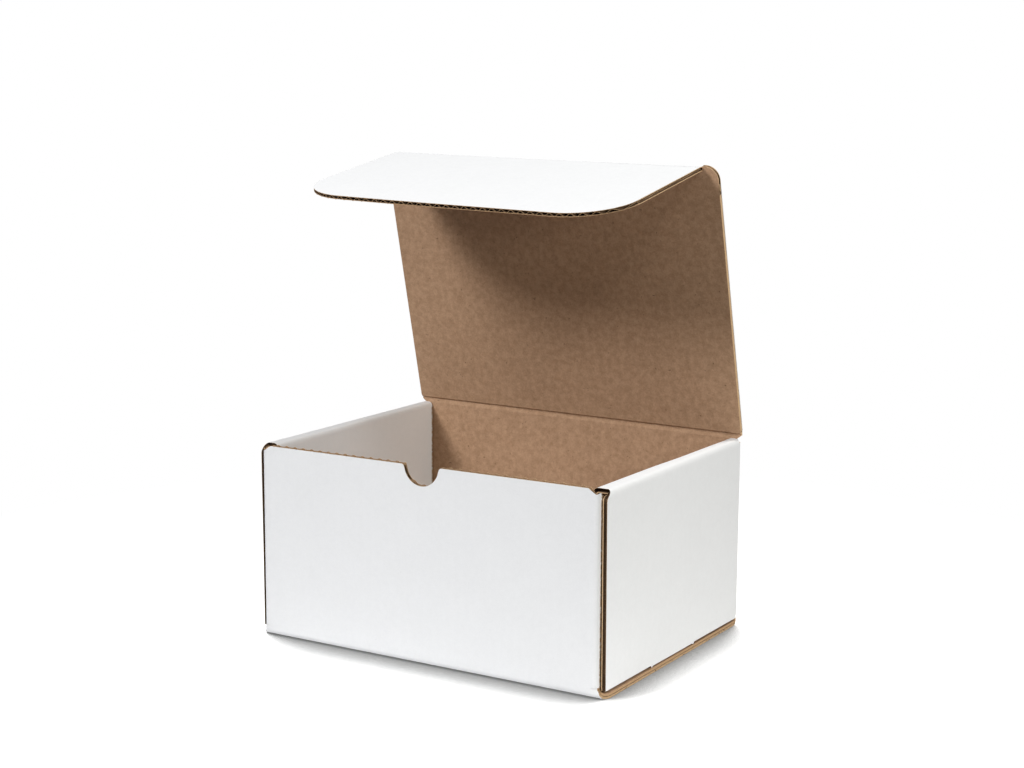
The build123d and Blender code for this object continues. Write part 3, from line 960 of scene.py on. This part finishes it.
def crease(name, rows, half_widths, curl=0.0, seed=0):
    """Short strip of board across a fold. Rows hold the middle point, the way out and the two depths."""
    sheet = Sheet()
    shares = [k / 60 - 1 for k in range(121)]
    outer = []
    inner = []
    for k, ((mid, out, above, below), half) in enumerate(zip(rows, half_widths)):
        along = k / (len(rows) - 1)
        places = [mid + Vector((half * f, 0, 0)) + out * (curl * along * max(-f, 0.0) ** 2) for f in shares]
        outer.append([place + out * above for place in places])
        inner.append([place - out * below for place in places])
    sheet.grid(outer, OUTSIDE, flip=True)
    sheet.grid(inner, INSIDE)
    for side, column in ((1, -1), (-1, 0)):
        ends = [row[column] for row in outer], [row[column] for row in inner]
        if seed:
            cut_edge(sheet, *ends, [Vector((-side, 0, 0))] * len(rows), seed, side > 0)
        else:
            sheet.grid(ends, CUT)
    piece = sheet.build(name, None, [white_x, kraft_x, cut_liner, fluting, flute_hollow_painted_shade])
    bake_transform(piece)
    return piece


def bend_rows(corner, first, second, first_out, second_out, reach, count, pinch_out, pinch_in,
              valley=0.5):
    """Rows of a crease from one board's direction to the other's, pinched most at the valley."""
    rows = []
    for k in range(count + 1):
        share = k / count
        point = corner - first * (reach * (1 - share) ** 2) + second * (reach * share ** 2)
        out = first_out.lerp(second_out, eased(share)).normalized()
        if share < valley:
            near = eased(share / valley)
        else:
            near = eased((CREASE_END - share) / (CREASE_END - valley))
        rows.append((point, out, BOARD / 2 - pinch_out * near, BOARD / 2 - pinch_in * near))
    return rows


def creases():
    up = Vector((0, 0, 1))
    rows = bend_rows(HINGE, up, LID_UP, Vector((0, 1, 0)), LID_OUT, CREASE, CREASE_ROWS,
                     pinch_out=0.25, pinch_in=1.05, valley=0.7)
    base = BACK_HALF - CORNER_BEND
    widening = [min(1.0, 2 * k / CREASE_ROWS) for k in range(CREASE_ROWS + 1)]
    halves = [base + (lid_half(CREASE) - base) * share for share in widening]
    crease("lid_crease", rows, halves)
    rows = bend_rows(TUCK, LID_UP, FLAP_ALONG, LID_OUT, FLAP_OUT, TUCK_CREASE, TUCK_CREASE_ROWS,
                     pinch_out=0.0, pinch_in=0.7)
    crease("tuck_crease", rows, [TUCK_HALF] * len(rows),
           FLAP_CURL, 140)


front_wall()
floor_strip()
back_wall()
side_wall(1)
side_wall(-1)
lid()
tuck_flap()
creases()


# Stage: white floor, soft lights and the photograph's camera

def open_share(tree):
    """Share of the floor's view that the box leaves open, looking up and leaning back to the left."""
    turn = math.radians(CONTACT_TURN)
    lean = math.radians(CONTACT_LEAN)
    way = (-math.sin(turn) * math.sin(lean), math.cos(turn) * math.sin(lean), math.cos(lean))
    leaning = make_node(tree, "ShaderNodeCombineXYZ", X=way[0], Y=way[1], Z=way[2])
    corner = make_node(tree, "ShaderNodeAmbientOcclusion", Distance=CONTACT_REACH)
    tree.links.new(leaning.outputs[0], corner.inputs["Normal"])
    return corner.outputs["AO"]


def stage_floor():
    """White floor that keeps the box's shadow near it, partly from the lamps and partly painted from a
    leaning ambient-occlusion value into its colour and glow, and is plain white further out.
    """
    mesh = bpy.data.meshes.new("studio_floor")
    half = FLOOR_HALF
    corners = [(-half, -half, 0), (half, -half, 0), (half, half, 0), (-half, half, 0)]
    mesh.from_pydata(corners, [], [(0, 1, 2, 3)])
    floor = bpy.data.objects.new("studio_floor", mesh)
    floor.location.z = -FLOOR_DROP
    bpy.context.scene.collection.objects.link(floor)
    material, tree, shader = new_material("studio_floor")
    shader.inputs["Roughness"].default_value = 1.0
    shader.inputs["Specular IOR Level"].default_value = 0.0
    path = tree.nodes.new("ShaderNodeLightPath")
    place = tree.nodes.new("ShaderNodeTexCoord")
    far = tree.nodes.new("ShaderNodeVectorMath")
    far.operation = "LENGTH"
    tree.links.new(place.outputs["Object"], far.inputs[0])
    sheet_end = ranged(tree, far.outputs["Value"], 0.2, 0.5, 0.0, 1.0)
    bounced = mixed(tree, sheet_end, (0.85, 0.85, 0.85), (0.12, 0.12, 0.12))
    # Painted contact shadow: the floor's colour and glow darken with the ambient-occlusion value near the
    # box.
    open_sky = ranged(tree, open_share(tree), *CONTACT_RANGE, CONTACT_DARK, 1.0)
    plain = mixed(tree, open_sky, (0.0, 0.0, 0.0), (FLOOR_SEEN, FLOOR_SEEN, FLOOR_SEEN))
    seen = mixed(tree, path.outputs["Is Camera Ray"], bounced, plain)
    tree.links.new(seen, shader.inputs["Base Color"])
    glow = make_node(tree, "ShaderNodeEmission", Strength=1.0)
    tree.links.new(mixed(tree, open_sky, (0.0, 0.0, 0.0), (1.0, 1.0, 1.0)), glow.inputs["Color"])
    fade = ranged(tree, far.outputs["Value"], 0.25, 0.5, FLOOR_GLOW, 1.0)
    amount = math_node(tree, "MULTIPLY", fade, path.outputs["Is Camera Ray"])
    choice = tree.nodes.new("ShaderNodeMixShader")
    tree.links.new(amount, choice.inputs[0])
    tree.links.new(shader.outputs[0], choice.inputs[1])
    tree.links.new(glow.outputs[0], choice.inputs[2])
    tree.links.new(choice.outputs[0], tree.nodes["Material Output"].inputs[0])
    mesh.materials.append(material)


def soft_light(name, azimuth, height, power, colour=(1, 1, 1)):
    """Square lamp aimed at the box, placed by its angle from the front and its height angle, in degrees."""
    turn = math.radians(azimuth)
    rise = math.radians(height)
    way = Vector((math.sin(turn) * math.cos(rise), -math.cos(turn) * math.cos(rise), math.sin(rise)))
    data = bpy.data.lights.new(name, "AREA")
    data.shape = "SQUARE"
    data.size = LAMP_SIZE
    data.energy = power
    data.color = colour
    lamp = bpy.data.objects.new(name, data)
    lamp.location = LAMP_AIM + way * LAMP_DISTANCE
    lamp.rotation_euler = way.to_track_quat("Z", "Y").to_euler()
    bpy.context.scene.collection.objects.link(lamp)


def world_light(strength):
    """Even light from all round, plain white where the camera sees it."""
    world = bpy.data.worlds.new("studio")
    world.use_nodes = True
    tree = world.node_tree
    back = tree.nodes["Background"]
    back.inputs["Color"].default_value = (1, 1, 1, 1)
    path = tree.nodes.new("ShaderNodeLightPath")
    level = ranged(tree, path.outputs["Is Camera Ray"], 0.0, 1.0, strength, 1.0)
    tree.links.new(level, back.inputs["Strength"])
    bpy.context.scene.world = world


def photo_camera():
    """Camera of the photograph: turned right of the front, a little above and with a slight roll."""
    azimuth = math.radians(CAMERA_AZIMUTH)
    height = math.radians(CAMERA_HEIGHT)
    roll = math.radians(CAMERA_ROLL)
    flat = math.cos(height)
    view = Vector((-math.sin(azimuth) * flat, math.cos(azimuth) * flat, -math.sin(height)))
    right = Vector((math.cos(azimuth), math.sin(azimuth), 0))
    up = right.cross(view)
    turned_right = right * math.cos(roll) + up * math.sin(roll)
    turned_up = up * math.cos(roll) - right * math.sin(roll)
    data = bpy.data.cameras.new("photo_camera")
    data.sensor_width = 36.0
    data.lens = CAMERA_LENS
    data.clip_end = 20.0
    camera = bpy.data.objects.new("photo_camera", data)
    matrix = Matrix((turned_right, turned_up, -view)).transposed().to_4x4()
    matrix.translation = (CAMERA_TARGET - view * CAMERA_DISTANCE) * MM
    camera.matrix_world = matrix
    bpy.context.scene.collection.objects.link(camera)
    bpy.context.scene.camera = camera


bpy.context.scene.view_settings.view_transform = "Standard"
stage_floor()
world_light(0.12)
soft_light("key", -29, 32, 13.9, (0.99, 0.99, 1.0))
soft_light("left_high", -30, 45, 5.7)
soft_light("behind", 150, 50, 12.9, (1.0, 0.99, 0.965))
soft_light("right_high", 60, 45, 4.0)
soft_light("right_low", 75, 20, 9.8, (1.0, 0.99, 0.93))
photo_camera()
